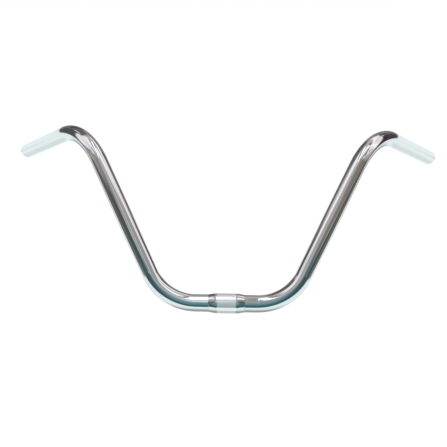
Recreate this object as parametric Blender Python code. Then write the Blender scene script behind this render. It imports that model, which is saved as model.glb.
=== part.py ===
"""High-rise motorcycle handlebar: one bent tube and the sleeve that the stem clamps.

Metres, +Z up. The origin is the middle of the clamp sleeve, on its axis. +X runs along the
sleeve towards the rider's left hand, +Y points back towards the rider, and the bar stands as
it is fitted: its uprights lean back and its grips are almost level. The bar is symmetric
about the plane X = 0.
"""

from math import cos, pi, radians, sin

import bmesh
import bpy
from mathutils import Matrix, Vector

# Tube section
TUBE_DIAMETER = 0.0222
TUBE_WALL = 0.0020

# One side of the bar, from the middle outwards
CENTRE_STRAIGHT = 0.078
LOWER_BEND_ANGLE = radians(63.5)
LOWER_BEND_RADIUS = 3 * TUBE_DIAMETER
UPRIGHT_LENGTH = 0.173
SWEEP_TURN = radians(57)
UPPER_BEND_ANGLE = radians(65)
UPPER_BEND_RADIUS = 0.095
GRIP_LENGTH = 0.145

# How far the plane of the two uprights leans back when the bar is fitted
LEAN = radians(18)

# Clamp sleeve
SLEEVE_DIAMETER = 0.0254
SLEEVE_LENGTH = 0.046
SLEEVE_PARALLEL = 0.030
SLEEVE_LIP = 0.0004
FIT_GAP = 0.0003

# Facets
RING_SIDES = 32
BEND_STEP = radians(6.5)
SMOOTH_UNDER = radians(30)
MIRROR_MERGE = 0.00002

TUBE_FINISH = {"color": (0.80, 0.82, 0.83, 1.0), "roughness": 0.07}
SLEEVE_FINISH = {"color": (0.74, 0.76, 0.77, 1.0), "roughness": 0.20}


class BendHead:
    """Carries the tube's end along its route: where it is, where it heads and which way it bends next."""

    def __init__(self, bend_towards):
        self.place = Vector((0.0, 0.0, 0.0))
        self.heading = Vector((1.0, 0.0, 0.0))
        self.bend_towards = bend_towards.normalized()

    def twist(self, angle):
        """Turns the direction of the next bend about the tube's own axis."""
        self.bend_towards.rotate(Matrix.Rotation(angle, 3, self.heading))

    def advance(self, length):
        step = self.heading * length
        self.place += step
        return step

    def bend(self, angle, radius):
        """Goes round a bend and returns the bend's centre and axis."""
        centre = self.place + self.bend_towards * radius
        axis = self.heading.cross(self.bend_towards)
        turn = Matrix.Rotation(angle, 3, axis)
        self.place = centre - turn @ self.bend_towards * radius
        self.heading = turn @ self.heading
        self.bend_towards = turn @ self.bend_towards
        return centre, axis


def ring_at_middle(mesh, radius):
    """A circle of edges about the X axis, at X = 0."""
    corners = []
    for side in range(RING_SIDES):
        angle = 2 * pi * side / RING_SIDES
        corners.append(mesh.verts.new((0.0, radius * cos(angle), radius * sin(angle))))
    return [mesh.edges.new((corners[side - 1], corners[side])) for side in range(RING_SIDES)]


def edges_of(geometry):
    return [item for item in geometry if isinstance(item, bmesh.types.BMEdge)]


def corners_of(ring):
    """The ring's corners, each once, in the order of its edges."""
    return list(dict.fromkeys(corner for edge in ring for corner in edge.verts))


def extrude_straight(mesh, ring, head, length):
    made = bmesh.ops.extrude_edge_only(mesh, edges=ring)["geom"]
    corners = [item for item in made if isinstance(item, bmesh.types.BMVert)]
    bmesh.ops.translate(mesh, verts=corners, vec=head.advance(length))
    return edges_of(made)


def extrude_bend(mesh, ring, head, angle, radius):
    centre, axis = head.bend(angle, radius)
    steps = round(angle / BEND_STEP)
    made = bmesh.ops.spin(
        mesh, geom=corners_of(ring) + ring, cent=centre, axis=axis, angle=angle, steps=steps
    )
    return edges_of(made["geom_last"])


def draw_half_wall(mesh, radius):
    """One wall of the tube, from the middle to the left-hand grip's end. Returns its last ring."""
    head = BendHead(Vector((0.0, sin(LEAN), cos(LEAN))))
    ring = ring_at_middle(mesh, radius)
    ring = extrude_straight(mesh, ring, head, CENTRE_STRAIGHT / 2)
    ring = extrude_bend(mesh, ring, head, LOWER_BEND_ANGLE, LOWER_BEND_RADIUS)
    ring = extrude_straight(mesh, ring, head, UPRIGHT_LENGTH)
    head.twist(pi + SWEEP_TURN)
    ring = extrude_bend(mesh, ring, head, UPPER_BEND_ANGLE, UPPER_BEND_RADIUS)
    return extrude_straight(mesh, ring, head, GRIP_LENGTH)


def close_end(mesh, outer_ring, bore_ring):
    """The flat ring of faces between the two walls at the tube's end."""
    bore_corners = corners_of(bore_ring)

    def across_wall(corner):
        return min(bore_corners, key=lambda other: (other.co - corner.co).length)

    for edge in outer_ring:
        first, second = edge.verts
        mesh.faces.new((first, second, across_wall(second), across_wall(first)))


def finish_material(name, finish):
    material = bpy.data.materials.new(name)
    material.use_nodes = True
    shader = material.node_tree.nodes["Principled BSDF"]
    shader.inputs["Base Color"].default_value = finish["color"]
    shader.inputs["Roughness"].default_value = finish["roughness"]
    shader.inputs["Metallic"].default_value = 1.0
    material.diffuse_color = finish["color"]
    return material


def add_object(name, mesh, material):
    """Closes the bmesh into an object of this name, with outward faces and smooth round sides."""
    bmesh.ops.recalc_face_normals(mesh, faces=mesh.faces)
    data = bpy.data.meshes.new(name)
    mesh.to_mesh(data)
    mesh.free()
    data.shade_smooth()
    data.set_sharp_from_angle(angle=SMOOTH_UNDER)
    data.materials.append(material)
    part = bpy.data.objects.new(name, data)
    bpy.context.scene.collection.objects.link(part)
    return part


def make_bar_tube():
    """The whole tube: an outer and an inner wall joined by a flat ring at each end."""
    mesh = bmesh.new()
    outer_end = draw_half_wall(mesh, TUBE_DIAMETER / 2)
    bore_end = draw_half_wall(mesh, TUBE_DIAMETER / 2 - TUBE_WALL)
    close_end(mesh, outer_end, bore_end)
    half = mesh.verts[:] + mesh.edges[:] + mesh.faces[:]
    bmesh.ops.mirror(mesh, geom=half, axis="X", merge_dist=MIRROR_MERGE)
    return add_object("bar_tube", mesh, finish_material("tube_chrome", TUBE_FINISH))


def make_clamp_sleeve():
    """A ring turned about the X axis: parallel in the middle, with a cone down to the tube at each end."""
    bore = TUBE_DIAMETER / 2 + FIT_GAP
    lip = bore + SLEEVE_LIP
    crown = SLEEVE_DIAMETER / 2
    end = SLEEVE_LENGTH / 2
    shoulder = SLEEVE_PARALLEL / 2
    profile = ((-end, bore), (-end, lip), (-shoulder, crown), (shoulder, crown), (end, lip), (end, bore))
    mesh = bmesh.new()
    corners = [mesh.verts.new((along, radius, 0.0)) for along, radius in profile]
    outline = [mesh.edges.new((corners[i - 1], corners[i])) for i in range(len(corners))]
    bmesh.ops.spin(
        mesh,
        geom=corners + outline,
        axis=(1.0, 0.0, 0.0),
        angle=2 * pi,
        steps=RING_SIDES,
        use_merge=True,
    )
    return add_object("clamp_sleeve", mesh, finish_material("sleeve_chrome", SLEEVE_FINISH))


def clear_scene():
    for item in list(bpy.data.objects):
        bpy.data.objects.remove(item, do_unlink=True)


def main():
    clear_scene()
    make_bar_tube()
    make_clamp_sleeve()


main()
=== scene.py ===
"""Looks for the high-rise handlebar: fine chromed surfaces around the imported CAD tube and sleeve.

Metres, in the CAD frame: +X along the clamp sleeve, +Y back towards the rider, +Z up.
"""

from math import cos, hypot, pi, radians, sin

import bpy
import numpy as np
from mathutils import Matrix, Vector


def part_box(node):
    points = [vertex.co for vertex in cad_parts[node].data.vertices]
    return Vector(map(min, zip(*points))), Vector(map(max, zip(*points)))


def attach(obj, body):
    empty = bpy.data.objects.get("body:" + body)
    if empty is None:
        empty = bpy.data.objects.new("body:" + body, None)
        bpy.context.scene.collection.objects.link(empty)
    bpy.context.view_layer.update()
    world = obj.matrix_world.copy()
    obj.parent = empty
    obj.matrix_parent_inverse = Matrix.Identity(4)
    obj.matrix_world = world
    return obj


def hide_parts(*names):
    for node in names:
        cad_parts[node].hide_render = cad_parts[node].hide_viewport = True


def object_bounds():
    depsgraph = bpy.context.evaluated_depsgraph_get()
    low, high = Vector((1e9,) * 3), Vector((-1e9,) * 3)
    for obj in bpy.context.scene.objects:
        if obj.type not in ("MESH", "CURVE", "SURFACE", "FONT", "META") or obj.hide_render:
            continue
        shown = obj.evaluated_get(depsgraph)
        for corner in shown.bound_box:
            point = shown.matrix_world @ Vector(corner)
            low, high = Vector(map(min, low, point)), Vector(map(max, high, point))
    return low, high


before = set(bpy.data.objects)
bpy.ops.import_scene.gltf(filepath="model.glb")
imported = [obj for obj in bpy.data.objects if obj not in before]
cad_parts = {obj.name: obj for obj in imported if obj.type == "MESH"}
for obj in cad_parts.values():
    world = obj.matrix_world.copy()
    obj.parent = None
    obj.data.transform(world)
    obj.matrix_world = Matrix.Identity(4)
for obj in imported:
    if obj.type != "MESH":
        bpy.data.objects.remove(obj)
CAD_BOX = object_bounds()

# The bar's route, as the CAD bends it
TUBE_RADIUS = -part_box("bar_tube")[0].z
TUBE_WALL = 0.0020
CENTRE_STRAIGHT = 0.078
LOWER_BEND_ANGLE = radians(63.5)
LOWER_BEND_RADIUS = 6 * TUBE_RADIUS
UPRIGHT_LENGTH = 0.173
SWEEP_TURN = radians(57)
UPPER_BEND_ANGLE = radians(65)
UPPER_BEND_RADIUS = 0.095
GRIP_LENGTH = 0.145
LEAN = radians(18)

# Fine mesh of the tube. The bore keeps one station in BORE_STEP.
TUBE_SIDES = 96
BEND_STEP = radians(0.8)
STRAIGHT_STEP = 0.004
BORE_STEP = 4
END_ROUND = 0.0006
BORE_CHAMFER = 0.0004
ROUND_RINGS = 4

# How much narrower the tube is in a lower bend's plane than across it, and how many stations that
# takes to set in
BEND_FLATTENING = 0.020
FLATTENING_RUN = 5

# The weld inside the bore
SEAM_HEIGHT = 0.0004
SEAM_WIDTH = 0.0009
SEAM_ANGLE = radians(200)

# The sleeve, as the CAD turns it, with a finely knurled band in its middle
SLEEVE_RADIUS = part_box("clamp_sleeve")[1].z
SLEEVE_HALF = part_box("clamp_sleeve")[1].x
SLEEVE_SHOULDER = 0.015
SLEEVE_SEAT = TUBE_RADIUS - 0.0001
SLEEVE_LIP = TUBE_RADIUS + 0.00005
SHOULDER_FILLET = 0.004
KNURL_HALF = 0.0130
KNURL_FADE = 0.0012
KNURL_DEPTH = 0.000008
KNURL_TEETH = 66
KNURL_LEAD = 0.0024
SLEEVE_SIDES = 396
SLEEVE_STEP = 0.0003

# Camera and floor
CAMERA_PLACE = (-0.0055, -0.7614, 0.1012)
CAMERA_ROLL = radians(0.99)
CAMERA_LENS = 48.35
CAMERA_NEAR = 0.01
FLOOR_DROP = 0.22
FLOOR_HALF = 6.0

# Grains of noise: patches to the metre along each axis. On the bar the third is along the tube.
HAZE_GRAIN = (60, 60, 25)
HAIRLINE_GRAIN = (2600, 2600, 90)
PIT_GRAIN = (900, 900, 900)
RUB_GRAIN = (500, 500, 500)
SCUFF_GRAIN = (120, 120, 1500)
DRAWN_GRAIN = (1500, 1500, 120)
RUST_GRAIN = (260, 260, 180)
PAPER_GRAIN = (40, 40, 40)

# Where in the noise pits, scuffs and rust start, and where they are full
PIT_SPAN = (0.76, 0.80)
SCUFF_SPAN = (0.55, 0.75)
RUST_SPAN = (0.52, 0.68)

# Bright chrome. Each roughness after the first is what that mark adds, and the ripple is a depth in
# metres, to which the hairlines add a small share.
CHROME_BRIGHT = (0.88, 0.89, 0.90, 1.0)
CHROME_HAZE = (0.84, 0.85, 0.86, 1.0)
CHROME_PIT = (0.45, 0.43, 0.41, 1.0)
PIT_STRENGTH = 0.5
CHROME_ROUGHNESS = 0.02
HAZE_ROUGHNESS = 0.04
HAIRLINE_ROUGHNESS = 0.05
PIT_ROUGHNESS = 0.30
CHROME_RIPPLE = 0.00002
HAIRLINE_SHARE = 0.004

# The rubbed cut ends. Noise adds up to RUB_RAGGED to a point's distance from the bar's middle, and the
# rub starts and is full where the sum passes the tube's end by RUB_STARTS and RUB_FULL.
RUBBED_NICKEL = (0.66, 0.63, 0.58, 1.0)
RUB_ROUGHNESS = 0.25
RUB_RAGGED = 0.004
RUB_STARTS = 0.0005
RUB_FULL = 0.0025

# The satin chrome on the sleeve, of which SATIN_MILK is the share that scatters like paint, and the
# sleeve's worn lips
SATIN_CHROME = (0.97, 0.975, 0.98, 1.0)
SATIN_ROUGHNESS = 0.16
SATIN_MILK = 0.28
SCUFF_ROUGHNESS = 0.06
LIP_WEAR = 0.0006
LIP_ROUGHNESS = 0.15
RUBBED_LIP = (0.74, 0.73, 0.71, 1.0)

# Bare steel in the bore, and the depth of its grain in metres
STEEL_DARK = (0.20, 0.19, 0.18, 1.0)
STEEL_PALE = (0.36, 0.35, 0.33, 1.0)
STEEL_ROUGHNESS = 0.45
STEEL_GRAIN = 0.00003
RUST = (0.20, 0.09, 0.04, 1.0)
RUST_ROUGHNESS = 0.30

# Floor paper
PAPER_DARK = (0.965, 0.965, 0.965, 1)
PAPER_PALE = (0.975, 0.975, 0.975, 1)

# Light
WHITE = (1, 1, 1, 1)
WHITE_STRENGTH = 1.02
CARD_STRENGTH = 1.15
LAMP_STRENGTH = 0.2
LAMP_ANGLE = radians(60)

# A slope of 100 is 45 degrees off straight up. A direction's rise is taken as at least LEAST_RISE.
SLOPE_SCALE = 100
LEAST_RISE = 0.001

# Stands in for the strength of a bend where the tube is straight, so that nothing is divided by zero
TINY = 1e-9

# The mesh layer with each point's place on the tube laid straight
PLACE_LAYER = "straightened"


# ---------------------------------------------------------------- route


def straight(stations, place, heading, side, length):
    """Adds stations along a straight run, each (point, heading, side), and returns where it ends."""
    steps = round(length / STRAIGHT_STEP)
    for step in range(1, steps + 1):
        stations.append((place + heading * (length * step / steps), heading, side))
    return stations[-1][0]


def bend(stations, place, heading, side, towards, angle, radius):
    """Adds stations round a bend and returns the point, heading and side at its end."""
    centre = place + towards * radius
    axis = heading.cross(towards)
    steps = round(angle / BEND_STEP)
    for step in range(1, steps + 1):
        turn = Matrix.Rotation(angle * step / steps, 3, axis)
        stations.append((centre - turn @ towards * radius, turn @ heading, turn @ side))
    return stations[-1]


def half_route():
    """Stations from the bar's middle to its +X end. The side vector rides along without twisting."""
    place = Vector((0.0, 0.0, 0.0))
    heading = Vector((1.0, 0.0, 0.0))
    side = Vector((0.0, sin(LEAN), cos(LEAN)))
    stations = [(place, heading, side)]
    place = straight(stations, place, heading, side, CENTRE_STRAIGHT / 2)
    place, heading, side = bend(
        stations, place, heading, side, side, LOWER_BEND_ANGLE, LOWER_BEND_RADIUS
    )
    place = straight(stations, place, heading, side, UPRIGHT_LENGTH)
    towards = Matrix.Rotation(pi + SWEEP_TURN, 3, heading) @ side
    place, heading, side = bend(
        stations, place, heading, side, towards, UPPER_BEND_ANGLE, UPPER_BEND_RADIUS
    )
    straight(stations, place, heading, side, GRIP_LENGTH)
    return stations


def whole_route():
    """Arrays of points, headings and the two cross-section axes, from the -X end to the +X end."""
    right = half_route()
    mirror = Vector((-1.0, 1.0, 1.0))
    left = [(point * mirror, -(heading * mirror), side * mirror) for point, heading, side in right[1:]]
    stations = left[::-1] + right
    points, headings, sides = (np.array([list(s[i]) for s in stations]) for i in range(3))
    return points, headings, sides, np.cross(headings, sides)


def bend_pull(points, headings):
    """At each station, the way to the bend's centre times how hard the tube is bent there, 0 to 1."""
    gaps = np.linalg.norm(np.diff(points, axis=0), axis=1, keepdims=True)
    turning = np.diff(headings, axis=0) / gaps
    turning = np.vstack([turning[:1], (turning[1:] + turning[:-1]) / 2, turning[-1:]])
    smooth = np.hanning(2 * FLATTENING_RUN + 1)[1:-1]
    smooth /= smooth.sum()
    padded = np.pad(turning, ((FLATTENING_RUN - 1,) * 2, (0, 0)), mode="edge")
    pull = np.stack([np.convolve(padded[:, i], smooth, mode="valid") for i in range(3)], axis=1)
    return pull * LOWER_BEND_RADIUS


# ---------------------------------------------------------------- meshes


def ring_loop(name, rings, along):
    """A closed mesh from rings of equal length, the last joined to the first.

    along is how far each ring is along the tube laid straight. Every point keeps its place on that
    straight tube in a layer, for the grain of the finish.
    """
    count, sides = rings.shape[:2]
    order = np.arange(sides)
    following = (order + 1) % sides
    near = np.arange(count)[:, None] * sides
    far = np.roll(near, -1, axis=0)
    corners = [near + order, near + following, far + following, far + order]
    faces = np.stack(corners, axis=-1).reshape(-1, 4)
    mesh = bpy.data.meshes.new(name)
    mesh.from_pydata(rings.reshape(-1, 3).tolist(), [], faces.tolist())
    angles = 2 * pi * order / sides
    straightened = np.empty((count, sides, 3))
    straightened[..., 0] = TUBE_RADIUS * np.cos(angles)
    straightened[..., 1] = TUBE_RADIUS * np.sin(angles)
    straightened[..., 2] = along[:, None]
    layer = mesh.attributes.new(PLACE_LAYER, "FLOAT_VECTOR", "POINT")
    layer.data.foreach_set("vector", straightened.reshape(-1))
    mesh.shade_smooth()
    return mesh


def tube_rings(route, radius, picked, flattening=True, seam=False):
    """Rings of the tube's wall at the picked stations."""
    points, headings, sides, thirds = (axis[picked] for axis in route)
    angles = 2 * pi * np.arange(TUBE_SIDES) / TUBE_SIDES
    cosines = np.cos(angles)[None, :, None]
    sines = np.sin(angles)[None, :, None]
    outward = cosines * sides[:, None] + sines * thirds[:, None]
    reach = np.full(outward.shape[:2], radius)
    if flattening:
        pull = bend_pull(route[0], route[1])[picked]
        strength = np.linalg.norm(pull, axis=1)
        toward = pull / np.maximum(strength, TINY)[:, None]
        in_plane = np.einsum("sij,sj->si", outward, toward) ** 2
        # The tube spreads across the bend's plane by as much as it loses in it
        reach += radius * BEND_FLATTENING * strength[:, None] * (0.5 - in_plane)
    if seam:
        from_seam = (angles - SEAM_ANGLE) * radius
        reach -= SEAM_HEIGHT * np.exp(-((from_seam / SEAM_WIDTH) ** 2))[None]
    return points[:, None] + outward * reach[..., None]


def end_rings(route, index, outward_sign):
    """Rings round the tube's end: its rounded outer edge, its flat face and the bore's chamfer.

    outward_sign is 1 where the route's heading points out of the tube, and -1 where it points in.
    """
    profile = []
    for step in range(1, ROUND_RINGS + 1):
        angle = pi / 2 * step / ROUND_RINGS
        profile.append((END_ROUND * sin(angle), TUBE_RADIUS - END_ROUND * (1 - cos(angle))))
    bore = TUBE_RADIUS - TUBE_WALL
    profile.append((END_ROUND, bore + BORE_CHAMFER))
    profile.append((END_ROUND - BORE_CHAMFER, bore))
    rings = []
    for forward, radius in profile:
        ring = tube_rings(route, radius, [index], flattening=False)[0]
        rings.append(ring + route[1][index] * outward_sign * (forward - END_ROUND))
    return rings


def lone_object(name, data):
    """An object of this mesh, lamp or camera, linked to the scene."""
    piece = bpy.data.objects.new(name, data)
    bpy.context.scene.collection.objects.link(piece)
    return piece


def make_tube(route):
    """The tube: its outside, one end, its bore and the other end, as one loop of rings."""
    points, headings = route[:2]
    last = len(points) - 1
    outer = tube_rings(route, TUBE_RADIUS, np.arange(last + 1))
    outer[0] += headings[0] * END_ROUND
    outer[last] -= headings[last] * END_ROUND
    far_end = end_rings(route, last, 1)
    near_end = end_rings(route, 0, -1)
    picked = np.arange(last - 1, 0, -BORE_STEP)
    bore = tube_rings(route, TUBE_RADIUS - TUBE_WALL, picked, flattening=False, seam=True)
    rings = np.concatenate([outer, far_end, bore, near_end[::-1]])
    run = np.concatenate([[0], np.cumsum(np.linalg.norm(np.diff(points, axis=0), axis=1))])
    far_along = np.full(len(far_end), run[-1])
    near_along = np.zeros(len(near_end))
    along = np.concatenate([run, far_along, run[picked], near_along])
    mesh = ring_loop("bar_tube_visual", rings, along)
    mesh.materials.append(chrome_plate("tube_chrome_plate", run[-1]))
    mesh.materials.append(bore_steel())
    # The second material, bore steel, is on the bore and its two chamfers
    bore_starts = len(outer) + len(far_end) - 2
    bore_ends = len(rings) - len(near_end) + 1
    inside = np.zeros(len(rings), dtype=np.int32)
    inside[bore_starts:bore_ends] = 1
    mesh.polygons.foreach_set("material_index", np.repeat(inside, TUBE_SIDES))
    return lone_object("bar_tube_visual", mesh)


def sleeve_profile():
    """Places along the sleeve, and its radius at each: a cone, a rounded shoulder, a parallel middle."""
    steps = 2 * round(SLEEVE_HALF / SLEEVE_STEP)
    along = np.linspace(-SLEEVE_HALF, SLEEVE_HALF, steps + 1)
    slope = (SLEEVE_RADIUS - SLEEVE_LIP) / (SLEEVE_HALF - SLEEVE_SHOULDER)
    cone = SLEEVE_LIP + (SLEEVE_HALF - np.abs(along)) * slope
    # A smooth minimum of the cone and the crown rounds the corner between them
    blend = SHOULDER_FILLET * slope / 2
    return along, (SLEEVE_RADIUS + cone - np.sqrt((SLEEVE_RADIUS - cone) ** 2 + blend**2)) / 2


def knurl_cut(along, angles):
    """How deep the knurl's crossed grooves cut the sleeve, over its surface."""
    turns = KNURL_TEETH * angles[None]
    climb = 2 * pi * along[:, None] / KNURL_LEAD
    grooves = 0.5 - 0.5 * np.cos(turns + climb) * np.cos(turns - climb)
    band = np.clip((KNURL_HALF - np.abs(along)) / KNURL_FADE, 0, 1)
    return KNURL_DEPTH * grooves * band[:, None]


def make_sleeve():
    """The sleeve: its knurled outside, and a seat just inside the tube's surface."""
    along, radii = sleeve_profile()
    angles = 2 * pi * np.arange(SLEEVE_SIDES) / SLEEVE_SIDES
    outside = radii[:, None] - knurl_cut(along, angles)
    seat = np.full((1, SLEEVE_SIDES), SLEEVE_SEAT)
    reach = np.concatenate([seat, outside, seat])
    along = np.pad(along, 1, mode="edge")
    places = np.broadcast_to(along[:, None], reach.shape)
    rings = np.stack([places, reach * np.cos(angles), reach * np.sin(angles)], axis=-1)
    mesh = ring_loop("clamp_sleeve_visual", rings, along)
    mesh.materials.append(sleeve_plate())
    return lone_object("clamp_sleeve_visual", mesh)


# ---------------------------------------------------------------- shader nodes


def add_node(tree, kind, inputs, **settings):
    """Adds a node and returns its outputs. An input that is a socket is linked, and any other is set."""
    node = tree.nodes.new(kind)
    for name, value in settings.items():
        setattr(node, name, value)
    for name, value in inputs.items():
        if isinstance(value, bpy.types.NodeSocket):
            tree.links.new(value, node.inputs[name])
        else:
            node.inputs[name].default_value = value
    return node.outputs


def scalar(tree, operation, *values, clamp=False):
    """The result of a maths node on numbers or sockets."""
    inputs = dict(enumerate(values))
    return add_node(tree, "ShaderNodeMath", inputs, operation=operation, use_clamp=clamp)["Value"]


def vector(tree, operation, *values):
    """The result of a vector maths node, a vector or, where the operation measures, a number."""
    outputs = add_node(tree, "ShaderNodeVectorMath", dict(enumerate(values)), operation=operation)
    measured = operation in ("DOT_PRODUCT", "DISTANCE", "LENGTH")
    return outputs["Value"] if measured else outputs["Vector"]


def smooth_step(tree, value, low, high, start=0.0, end=1.0):
    """start below low, end above high, and an S-curve between them."""
    inputs = {"Value": value, "From Min": low, "From Max": high, "To Min": start, "To Max": end}
    return add_node(tree, "ShaderNodeMapRange", inputs, interpolation_type="SMOOTHSTEP")["Result"]


def mix_colours(tree, share, first, second):
    """The first colour where share is 0, the second where it is 1."""
    # The mix node has sockets for numbers, vectors and colours. These are the colours' ones.
    inputs = {0: share, 6: first, 7: second}
    return add_node(tree, "ShaderNodeMix", inputs, data_type="RGBA")[2]


def noise(tree, place, scale, detail=3.0):
    """Noise from 0 to 1. place is in metres, so scale is patches to the metre, along each axis."""
    place = vector(tree, "MULTIPLY", place, scale)
    inputs = {"Vector": place, "Scale": 1.0, "Detail": detail}
    return add_node(tree, "ShaderNodeTexNoise", inputs)["Fac"]


def straightened_place(tree):
    """Where a point would be if the tube were straight."""
    return add_node(tree, "ShaderNodeAttribute", {}, attribute_name=PLACE_LAYER)["Vector"]


def along_tube(tree, place):
    """How far along the tube a straightened place is."""
    return add_node(tree, "ShaderNodeSeparateXYZ", {"Vector": place})["Z"]


# ---------------------------------------------------------------- finishes


def new_finish(name):
    """A metal and its node tree."""
    material = bpy.data.materials.new(name)
    material.use_nodes = True
    shader = material.node_tree.nodes["Principled BSDF"]
    shader.inputs["Metallic"].default_value = 1.0
    return material, material.node_tree, shader


def connect(tree, shader, colour, roughness, height, depth):
    """Links the colour and roughness, and a bump whose height of 1 stands for depth in metres."""
    tree.links.new(colour, shader.inputs["Base Color"])
    tree.links.new(roughness, shader.inputs["Roughness"])
    bump = add_node(tree, "ShaderNodeBump", {"Height": height, "Distance": depth, "Strength": 1.0})
    tree.links.new(bump["Normal"], shader.inputs["Normal"])


def plating(tree, place):
    """The colour, roughness and height that all the bright plating shares: haze, hairlines, pits."""
    haze = noise(tree, place, HAZE_GRAIN)
    hairlines = noise(tree, place, HAIRLINE_GRAIN, detail=2.0)
    pits = smooth_step(tree, noise(tree, place, PIT_GRAIN, detail=1.0), *PIT_SPAN)
    colour = mix_colours(tree, haze, CHROME_BRIGHT, CHROME_HAZE)
    colour = mix_colours(tree, scalar(tree, "MULTIPLY", pits, PIT_STRENGTH), colour, CHROME_PIT)
    roughness = scalar(tree, "MULTIPLY_ADD", haze, HAZE_ROUGHNESS, CHROME_ROUGHNESS)
    roughness = scalar(tree, "MULTIPLY_ADD", hairlines, HAIRLINE_ROUGHNESS, roughness)
    roughness = scalar(tree, "MULTIPLY_ADD", pits, PIT_ROUGHNESS, roughness)
    height = scalar(tree, "MULTIPLY_ADD", hairlines, HAIRLINE_SHARE, haze)
    return colour, roughness, height


def chrome_plate(name, length):
    """Bright chrome on the tube, rubbed dull at the two cut ends."""
    material, tree, shader = new_finish(name)
    place = straightened_place(tree)
    along = along_tube(tree, place)
    colour, roughness, height = plating(tree, place)
    from_middle = scalar(tree, "ABSOLUTE", scalar(tree, "SUBTRACT", along, length / 2))
    ragged = scalar(tree, "MULTIPLY_ADD", noise(tree, place, RUB_GRAIN), RUB_RAGGED, from_middle)
    rubbed = smooth_step(tree, ragged, length / 2 + RUB_STARTS, length / 2 + RUB_FULL)
    colour = mix_colours(tree, rubbed, colour, RUBBED_NICKEL)
    roughness = scalar(tree, "MULTIPLY_ADD", rubbed, RUB_ROUGHNESS, roughness)
    connect(tree, shader, colour, roughness, height, CHROME_RIPPLE)
    return material


def sleeve_plate():
    """The same chrome on the sleeve, with a scuffed satin band where it is knurled and worn lips."""
    material, tree, shader = new_finish("sleeve_chrome_plate")
    place = straightened_place(tree)
    along = along_tube(tree, place)
    colour, roughness, height = plating(tree, place)
    from_middle = scalar(tree, "ABSOLUTE", along)
    band = smooth_step(tree, from_middle, KNURL_HALF, KNURL_HALF - 2 * KNURL_FADE)
    scuffs = smooth_step(tree, noise(tree, place, SCUFF_GRAIN), *SCUFF_SPAN)
    satin = scalar(tree, "MULTIPLY_ADD", scuffs, SCUFF_ROUGHNESS, SATIN_ROUGHNESS)
    roughness = scalar(tree, "MULTIPLY_ADD", band, satin, roughness)
    colour = mix_colours(tree, band, colour, SATIN_CHROME)
    rubbed = smooth_step(tree, from_middle, SLEEVE_HALF - 2 * LIP_WEAR, SLEEVE_HALF - LIP_WEAR)
    colour = mix_colours(tree, rubbed, colour, RUBBED_LIP)
    roughness = scalar(tree, "MULTIPLY_ADD", rubbed, LIP_ROUGHNESS, roughness)
    metal = scalar(tree, "MULTIPLY_ADD", band, -SATIN_MILK, 1.0)
    tree.links.new(metal, shader.inputs["Metallic"])
    connect(tree, shader, colour, roughness, height, CHROME_RIPPLE)
    return material


def bore_steel():
    """Bare drawn steel inside the tube, with freckles of rust."""
    material, tree, shader = new_finish("bore_steel")
    place = straightened_place(tree)
    drawn = noise(tree, place, DRAWN_GRAIN)
    rust = smooth_step(tree, noise(tree, place, RUST_GRAIN, detail=5.0), *RUST_SPAN)
    colour = mix_colours(tree, drawn, STEEL_DARK, STEEL_PALE)
    colour = mix_colours(tree, rust, colour, RUST)
    roughness = scalar(tree, "MULTIPLY_ADD", rust, RUST_ROUGHNESS, STEEL_ROUGHNESS)
    height = scalar(tree, "ADD", drawn, rust)
    connect(tree, shader, colour, roughness, height, STEEL_GRAIN)
    return material


# ---------------------------------------------------------------- what the chrome reflects
#
# The studio is a set of cards all round the bar. A card's corners are bearings in degrees, seen from
# the bar: how far round from the front (positive towards +X), and how far up. A ceiling card's corners
# are slopes instead, 100 x / z and 100 (-y) / z, so its long edges stay straight overhead. Later cards
# hang in front of earlier ones. A panel or ceiling card is the area inside all of its edges' lines, so
# its outline is convex.
#
# A colour is the one that the chrome shows, in 8-bit sRGB, and over 255 it is brighter than white.
# A feather is how wide a card's soft edge is, in degrees, or in slope for a ceiling card.

PANEL, STRIP, DISC, CEILING = "panel", "strip", "disc", "ceiling"

# Past the last bearing: all the way round, straight down and straight up
AROUND = 400
NADIR = -95
ZENITH = 95

# The pale sweep and the white sheets
WALLS = (226, 225, 223)
SWEEP = (222, 233, 234)
SWEEP_UNDER = (200, 210, 210)
SWEEP_FOOT = (188, 195, 193)
SWEEP_BEHIND = (148, 154, 152)
SKIRTING = (206, 205, 202)
SKIRTING_DARK = (150, 150, 148)
SIDE_SHEET = (226, 236, 236)
SIDE_SHEET_FOOT = (208, 219, 219)

# The dark rear of the room, and what the uprights' edges catch of it
BACK_LEFT = (74, 78, 76)
BACK_LEFT_DEEP = (70, 69, 80)
BACK_HIGH = (98, 96, 98)
BACK_RIGHT = (66, 63, 64)
BACK_RIGHT_EDGE = (62, 44, 48)
BACK_MIST = (138, 136, 136)
BACK_PALER = (122, 119, 118)
LEG_EDGE_LEFT = (112, 105, 102)
LEG_EDGE_RIGHT = (106, 102, 99)
LEG_EDGE_PALE = (210, 204, 206)
LEG_SHADE = (100, 99, 95)

# Windows, and the beige walls, shelves and ledges under them
WINDOW_LEFT = (228, 223, 228)
WINDOW_LEFT_BAR = (170, 164, 170)
WINDOW_LEFT_LINE = (186, 181, 186)
WINDOW_RIGHT = (250, 248, 250)
WINDOW_RIGHT_BAR = (172, 164, 168)
WINDOW_RIGHT_LINE = (176, 168, 172)
WINDOW_SHADE = (222, 217, 222)
WINDOW_FRAME = (128, 122, 128)
SILL_RIGHT = (163, 157, 157)
BEIGE_LEFT = (146, 143, 139)
BEIGE_LEFT_LINE = (118, 116, 118)
BEIGE_RIGHT = (130, 123, 112)
BEIGE_RIGHT_LINE = (100, 92, 82)
SHELF_LEFT = (76, 78, 76)
SHELF_RIGHT = (70, 65, 60)
LEDGE_LEFT = (124, 124, 121)
LEDGE_RIGHT = (122, 116, 106)

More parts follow.
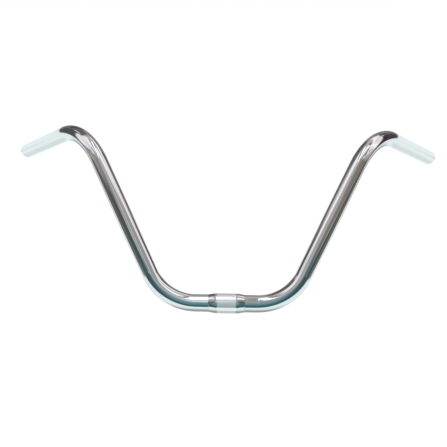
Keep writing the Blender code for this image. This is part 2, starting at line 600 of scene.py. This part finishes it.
# Ceiling and light box
CEILING_GREY = (176, 172, 174)
CEILING_WHITE = (244, 240, 242)
PINK_WHITE = (242, 234, 238)
GREY_LEFT = (164, 161, 160)
GREY_RIGHT = (148, 144, 141)
LIGHT_BOX = (310, 318, 320)
LIGHT_BOX_END = (196, 204, 207)
LIGHT_FRAME = (140, 133, 128)

# The teal wall in front
FRONT_WALL = (60, 82, 87)
FRONT_WALL_MID = (98, 134, 141)
FRONT_WALL_DEEP = (56, 95, 102)
FRONT_WALL_PALE = (134, 156, 160)
FRONT_WALL_GLINT = (216, 228, 232)


def panel(colour, feather, *corners):
    return PANEL, colour, feather, corners, None


def ceiling(colour, feather, *corners):
    return CEILING, colour, feather, corners, None


def disc(colour, feather, centre, radii):
    return DISC, colour, feather, (centre,), radii


def strips(colour, feather, half_width, *corners):
    """Straight strips with round ends, end to end through the corners."""
    return [(STRIP, colour, feather, pair, half_width) for pair in zip(corners, corners[1:])]


def mirrored(*cards):
    """The cards, and the same ones across the plane X = 0."""
    flipped = []
    for kind, colour, feather, corners, size in cards:
        across = tuple((-across, up) for across, up in corners)
        flipped.append((kind, colour, feather, across, size))
    return [*cards, *flipped]


SWEEP_CARDS = [
    panel(SWEEP, 8, (-AROUND, -8), (-AROUND, NADIR), (AROUND, NADIR), (AROUND, -8)),
    panel(SWEEP_UNDER, 10, (-AROUND, -72), (-AROUND, NADIR), (AROUND, NADIR), (AROUND, -72)),
    *mirrored(
        panel(SWEEP_FOOT, 18, (80, NADIR), (92, -66), (126, -48), (AROUND, -34), (AROUND, NADIR)),
        panel(
            SWEEP_BEHIND, 10,
            (102, NADIR), (112, -66), (150, -42), (168, -22), (AROUND, -22), (AROUND, NADIR),
        ),
        panel(SKIRTING, 6, (96, 2), (90, -12), (150, -12), (150, 6)),
        panel(BACK_MIST, 10, (140, 76), (140, 4), (168, 14), (AROUND, 14), (AROUND, 76)),
    ),
]

REAR_CARDS = [
    panel(
        CEILING_GREY, 10,
        (-AROUND, 50), (-60, 60), (60, 60), (AROUND, 50), (AROUND, ZENITH), (-AROUND, ZENITH),
    ),
    panel(
        BACK_LEFT, 6,
        (-113, -4), (-101, 3), (-96, 20), (-95, 38), (-100, 70),
        (-125, 74), (-158, 72), (-170, 56), (-168, 38), (-146, 16),
    ),
    disc(BACK_LEFT_DEEP, 12, (-150, 42), (18, 10)),
    panel(
        BACK_RIGHT, 6,
        (113, -4), (100, -3), (96, 8), (97, 28), (104, 47),
        (114, 55), (130, 59), (158, 54), (163, 40), (146, 16),
    ),
    *strips(BACK_RIGHT_EDGE, 6, 3, (111, 1), (102, 14), (103, 32)),
    panel(
        BACK_HIGH, 6,
        (-96, 38), (-85, 50), (-84, 58), (-90, 66), (-125, 76), (-170, 74), (-170, 56),
    ),
    panel(BACK_PALER, 16, (132, 22), (156, 14), (175, 14), (175, 52), (134, 56)),
    panel(BACK_PALER, 12, (-132, 24), (-156, 14), (-175, 14), (-175, 32), (-134, 38)),
    *strips(LEG_EDGE_LEFT, 5, 3, (116, 43), (129, 37), (165, 20)),
    *strips(LEG_EDGE_PALE, 4, 4, (94, 51), (110, 47)),
    *strips(LEG_EDGE_RIGHT, 5, 3, (-116, 43), (-129, 37), (-165, 20)),
    *strips(LEG_EDGE_PALE, 4, 3, (-96, 51), (-108, 47)),
]

SIDE_CARDS = mirrored(
    disc(SIDE_SHEET, 3, (141, -7), (30, 30)),
    disc(SIDE_SHEET_FOOT, 10, (150, -28), (24, 10)),
    disc(SKIRTING_DARK, 8, (142, -2), (20, 8)),
)

LEFT_CARDS = [
    panel(
        WINDOW_LEFT, 5,
        (-98, 2), (-80, 10), (-60, 28), (-52, 44), (-60, 60), (-82, 52), (-93, 38), (-95, 24),
    ),
    *strips(WINDOW_LEFT_BAR, 4, 2, (-84, 56), (-64, 48), (-48, 34)),
    *strips(WINDOW_LEFT_LINE, 3, 1.5, (-88, 44), (-60, 27)),
    *strips(PINK_WHITE, 6, 5, (-84, 72), (-46, 62), (-34, 50)),
    panel(
        BEIGE_LEFT, 5,
        (-113, -5), (-60, 12), (-16, 38), (-8, 50), (-34, 46), (-62, 27), (-90, 8),
    ),
    *strips(BEIGE_LEFT_LINE, 4, 1.3, (-108, -1), (-80, 13), (-58, 29)),
    *strips(SHELF_LEFT, 5, 5.5, (-92, -4), (-62, 5), (-34, 22)),
    *strips(LEDGE_LEFT, 6, 4, (-40, 27), (-20, 34), (0, 40)),
]

RIGHT_CARDS = [
    panel(WINDOW_FRAME, 6, (84, 80), (44, 76), (40, 42), (56, 30), (70, 50)),
    panel(
        WINDOW_SHADE, 5,
        (95, 10), (95, 28), (101, 40), (103, 48), (84, 58), (70, 56), (56, 40), (56, 30), (78, 14),
    ),
    *strips(
        WINDOW_RIGHT, 5, 3,
        (92, 14), (82, 26), (72, 44), (74, 54), (86, 62), (106, 68), (150, 70),
    ),
    *strips(WINDOW_RIGHT_BAR, 4, 2, (83, 48), (95, 55), (112, 60)),
    *strips(WINDOW_RIGHT_LINE, 3, 1, (88, 14), (70, 26), (62, 38)),
    panel(BEIGE_RIGHT, 5, (113, -5), (60, 9), (16, 36), (8, 50), (36, 45), (62, 26), (92, 7)),
    *strips(SHELF_RIGHT, 6, 6, (98, -5), (66, 2), (44, 8)),
    *strips(LEDGE_RIGHT, 6, 5, (62, 14), (40, 22), (8, 34)),
    *strips(SILL_RIGHT, 4, 3, (98, 4), (80, 12), (58, 26)),
    *strips(BEIGE_RIGHT_LINE, 4, 1, (92, -1), (60, 16)),
]

OVERHEAD_CARDS = [
    panel(PINK_WHITE, 4, (-80, 48), (-60, 49), (-44, 49), (-38, 58), (-60, 61), (-82, 58)),
    disc(PINK_WHITE, 3, (-17, 58), (8, 4)),
    panel(CEILING_WHITE, 5, (9, 54), (60, 55), (60, 76), (9, 76)),
    panel(GREY_RIGHT, 5, (2, 38), (18, 37), (50, 43), (57, 52), (10, 53)),
    panel(GREY_LEFT, 6, (-48, 42), (-16, 32), (4, 32), (4, 55), (-12, 54), (-44, 57)),
    *strips(PINK_WHITE, 6, 4, (62, 53), (84, 55), (112, 63), (165, 69)),
]

FRONT_CARDS = [
    *mirrored(panel(LEG_SHADE, 7, (66, 2), (66, -7), (92, -14), (110, -13), (110, -2), (90, 0))),
    panel(
        FRONT_WALL, 7,
        (0, -47), (18, -44), (32, -37), (54, -24), (72, -8), (60, 3), (28, 24),
        (0, 36), (-28, 24), (-60, 3), (-72, -8), (-54, -24), (-32, -37), (-18, -44),
    ),
    disc(FRONT_WALL_MID, 20, (-1, 3), (22, 26)),
    disc(FRONT_WALL_DEEP, 12, (12, -22), (14, 12)),
    disc(FRONT_WALL_PALE, 16, (0, 24), (13, 13)),
    disc(FRONT_WALL_GLINT, 3, (-2, 25), (3, 7)),
]

LIGHT_BOX_CARDS = [
    ceiling(LIGHT_FRAME, 3, (-16, 5), (-7, 5), (-7, 120), (-16, 120)),
    ceiling(LIGHT_FRAME, 2, (2.5, 5), (9, 5), (9, 112), (2.5, 116)),
    ceiling(LIGHT_BOX_END, 3, (-7, 70), (2.5, 70), (2.5, 170), (-7, 170)),
    ceiling(LIGHT_BOX, 2, (-7, 5), (2.5, 5), (2.5, 84), (-7, 84)),
]

STUDIO = [
    *SWEEP_CARDS,
    *REAR_CARDS,
    *SIDE_CARDS,
    *LEFT_CARDS,
    *RIGHT_CARDS,
    *OVERHEAD_CARDS,
    *FRONT_CARDS,
    *LIGHT_BOX_CARDS,
]


def strip_depth(tree, bearing, corners, half_width):
    """How far inside a strip a bearing is. bearing is (across, up, 1)."""
    (start_x, start_y), (end_x, end_y) = corners
    run = (end_x - start_x, end_y - start_y)
    squared = run[0] ** 2 + run[1] ** 2
    from_start = vector(tree, "SUBTRACT", bearing, (start_x, start_y, 1))
    share = vector(tree, "DOT_PRODUCT", from_start, (run[0] / squared, run[1] / squared, 0))
    share = scalar(tree, "MULTIPLY", share, 1, clamp=True)
    nearest = vector(tree, "MULTIPLY_ADD", (*run, 0), share, (start_x, start_y, 1))
    return scalar(tree, "SUBTRACT", half_width, vector(tree, "DISTANCE", bearing, nearest))


def disc_depth(tree, bearing, centre, radii):
    """About how far inside an ellipse a bearing is, exact where its radii are equal."""
    scale = (1 / radii[0], 1 / radii[1], 0)
    shift = (-centre[0] / radii[0], -centre[1] / radii[1], 0)
    reach = vector(tree, "LENGTH", vector(tree, "MULTIPLY_ADD", bearing, scale, shift))
    return scalar(tree, "MULTIPLY_ADD", reach, -min(radii), min(radii))


def outline_depth(tree, bearing, corners):
    """How far inside a convex outline a bearing is: its distance from the nearest edge's line."""
    winding = sum(a[0] * b[1] - b[0] * a[1] for a, b in zip(corners, corners[1:] + corners[:1]))
    if winding < 0:
        corners = corners[::-1]
    depth = None
    for (start_x, start_y), (end_x, end_y) in zip(corners, corners[1:] + corners[:1]):
        length = hypot(end_x - start_x, end_y - start_y)
        inward = ((start_y - end_y) / length, (end_x - start_x) / length)
        offset = -(inward[0] * start_x + inward[1] * start_y)
        edge = vector(tree, "DOT_PRODUCT", bearing, (*inward, offset))
        depth = edge if depth is None else scalar(tree, "MINIMUM", depth, edge)
    return depth


def card_depth(tree, bearing, kind, corners, size):
    """How far inside the card's edge a bearing is, and negative outside it."""
    if kind == STRIP:
        return strip_depth(tree, bearing, corners, size)
    if kind == DISC:
        return disc_depth(tree, bearing, corners[0], size)
    return outline_depth(tree, bearing, corners)


def linear(colour):
    """A shader colour from 8-bit sRGB, by the standard's curve."""
    channels = [channel / 255 for channel in colour]
    return (*(c / 12.92 if c <= 0.04045 else ((c + 0.055) / 1.055) ** 2.4 for c in channels), 1.0)


def looked_at(tree):
    """The bearing that a ray goes to and its slope overhead, each (across, up, 1)."""
    direction = add_node(tree, "ShaderNodeTexCoord", {})["Generated"]
    x, y, z = add_node(tree, "ShaderNodeSeparateXYZ", {"Vector": direction})
    front = scalar(tree, "MULTIPLY", y, -1)
    across = scalar(tree, "DEGREES", scalar(tree, "ARCTAN2", x, front))
    up = scalar(tree, "DEGREES", scalar(tree, "ARCSINE", z))
    bearing = add_node(tree, "ShaderNodeCombineXYZ", {"X": across, "Y": up, "Z": 1})["Vector"]
    rise = scalar(tree, "MULTIPLY", scalar(tree, "MAXIMUM", z, LEAST_RISE), 1 / SLOPE_SCALE)
    slope_x = scalar(tree, "DIVIDE", x, rise)
    slope_y = scalar(tree, "DIVIDE", front, rise)
    slope = add_node(tree, "ShaderNodeCombineXYZ", {"X": slope_x, "Y": slope_y, "Z": 1})["Vector"]
    return bearing, slope


def make_world():
    """White for the camera and for matt surfaces, and the cards for what the chrome reflects."""
    world = bpy.data.worlds.new("studio")
    bpy.context.scene.world = world
    world.use_nodes = True
    # The cards are found by the chrome's own reflections, so they are not sampled as a lamp
    world.cycles.sampling_method = "NONE"
    tree = world.node_tree
    tree.nodes.clear()
    bearing, slope = looked_at(tree)
    colour = linear(WALLS)
    for kind, card_colour, feather, corners, size in STUDIO:
        depth = card_depth(tree, slope if kind == CEILING else bearing, kind, corners, size)
        shown = smooth_step(tree, depth, -feather / 2, feather / 2)
        colour = mix_colours(tree, shown, colour, linear(card_colour))
    white = add_node(tree, "ShaderNodeBackground", {"Color": WHITE, "Strength": WHITE_STRENGTH})
    cards = add_node(tree, "ShaderNodeBackground", {"Color": colour, "Strength": CARD_STRENGTH})
    glossy = add_node(tree, "ShaderNodeLightPath", {})["Is Glossy Ray"]
    # The mix shader's sockets are its factor and two shaders of the same name
    mixed = add_node(tree, "ShaderNodeMixShader", {0: glossy, 1: white[0], 2: cards[0]})["Shader"]
    add_node(tree, "ShaderNodeOutputWorld", {"Surface": mixed})


# ---------------------------------------------------------------- stage


def make_floor():
    """A wide pale floor below the bar. The chrome reflects the cards' sweep in its place."""
    half = FLOOR_HALF
    height = CAD_BOX[0][2] - FLOOR_DROP
    outline = ((-half, -half), (half, -half), (half, half), (-half, half))
    mesh = bpy.data.meshes.new("floor")
    mesh.from_pydata([(x, y, height) for x, y in outline], [], [(0, 1, 2, 3)])
    material = bpy.data.materials.new("floor_paper")
    material.use_nodes = True
    tree = material.node_tree
    shader = tree.nodes["Principled BSDF"]
    place = add_node(tree, "ShaderNodeTexCoord", {})["Object"]
    mottle = mix_colours(tree, noise(tree, place, PAPER_GRAIN), PAPER_DARK, PAPER_PALE)
    tree.links.new(mottle, shader.inputs["Base Color"])
    shader.inputs["Roughness"].default_value = 1.0
    shader.inputs["Specular IOR Level"].default_value = 0.0
    mesh.materials.append(material)
    floor = lone_object("floor", mesh)
    floor.visible_glossy = False


def make_lamp():
    """A weak, very soft lamp overhead, which the chrome doesn't show as a spot."""
    data = bpy.data.lights.new("soft_lamp", "SUN")
    data.energy = LAMP_STRENGTH
    data.angle = LAMP_ANGLE
    lamp = lone_object("soft_lamp", data)
    lamp.visible_glossy = False


def make_camera():
    """A level camera in front of the bar, which looks along +Y with a slight roll."""
    data = bpy.data.cameras.new("camera")
    data.lens = CAMERA_LENS
    data.clip_start = CAMERA_NEAR
    camera = lone_object("camera", data)
    level = Matrix.Rotation(pi / 2, 4, "X")
    roll = Matrix.Rotation(CAMERA_ROLL, 4, "Z")
    camera.matrix_world = Matrix.Translation(CAMERA_PLACE) @ level @ roll
    bpy.context.scene.camera = camera


def add_piece(piece, node):
    """Hangs a piece on the bar's body, in place of its CAD node."""
    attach(piece, "root")
    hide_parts(node)


def main():
    bpy.context.scene.view_settings.view_transform = "Standard"
    make_camera()
    make_world()
    make_lamp()
    make_floor()
    add_piece(make_tube(whole_route()), "bar_tube")
    add_piece(make_sleeve(), "clamp_sleeve")


main()
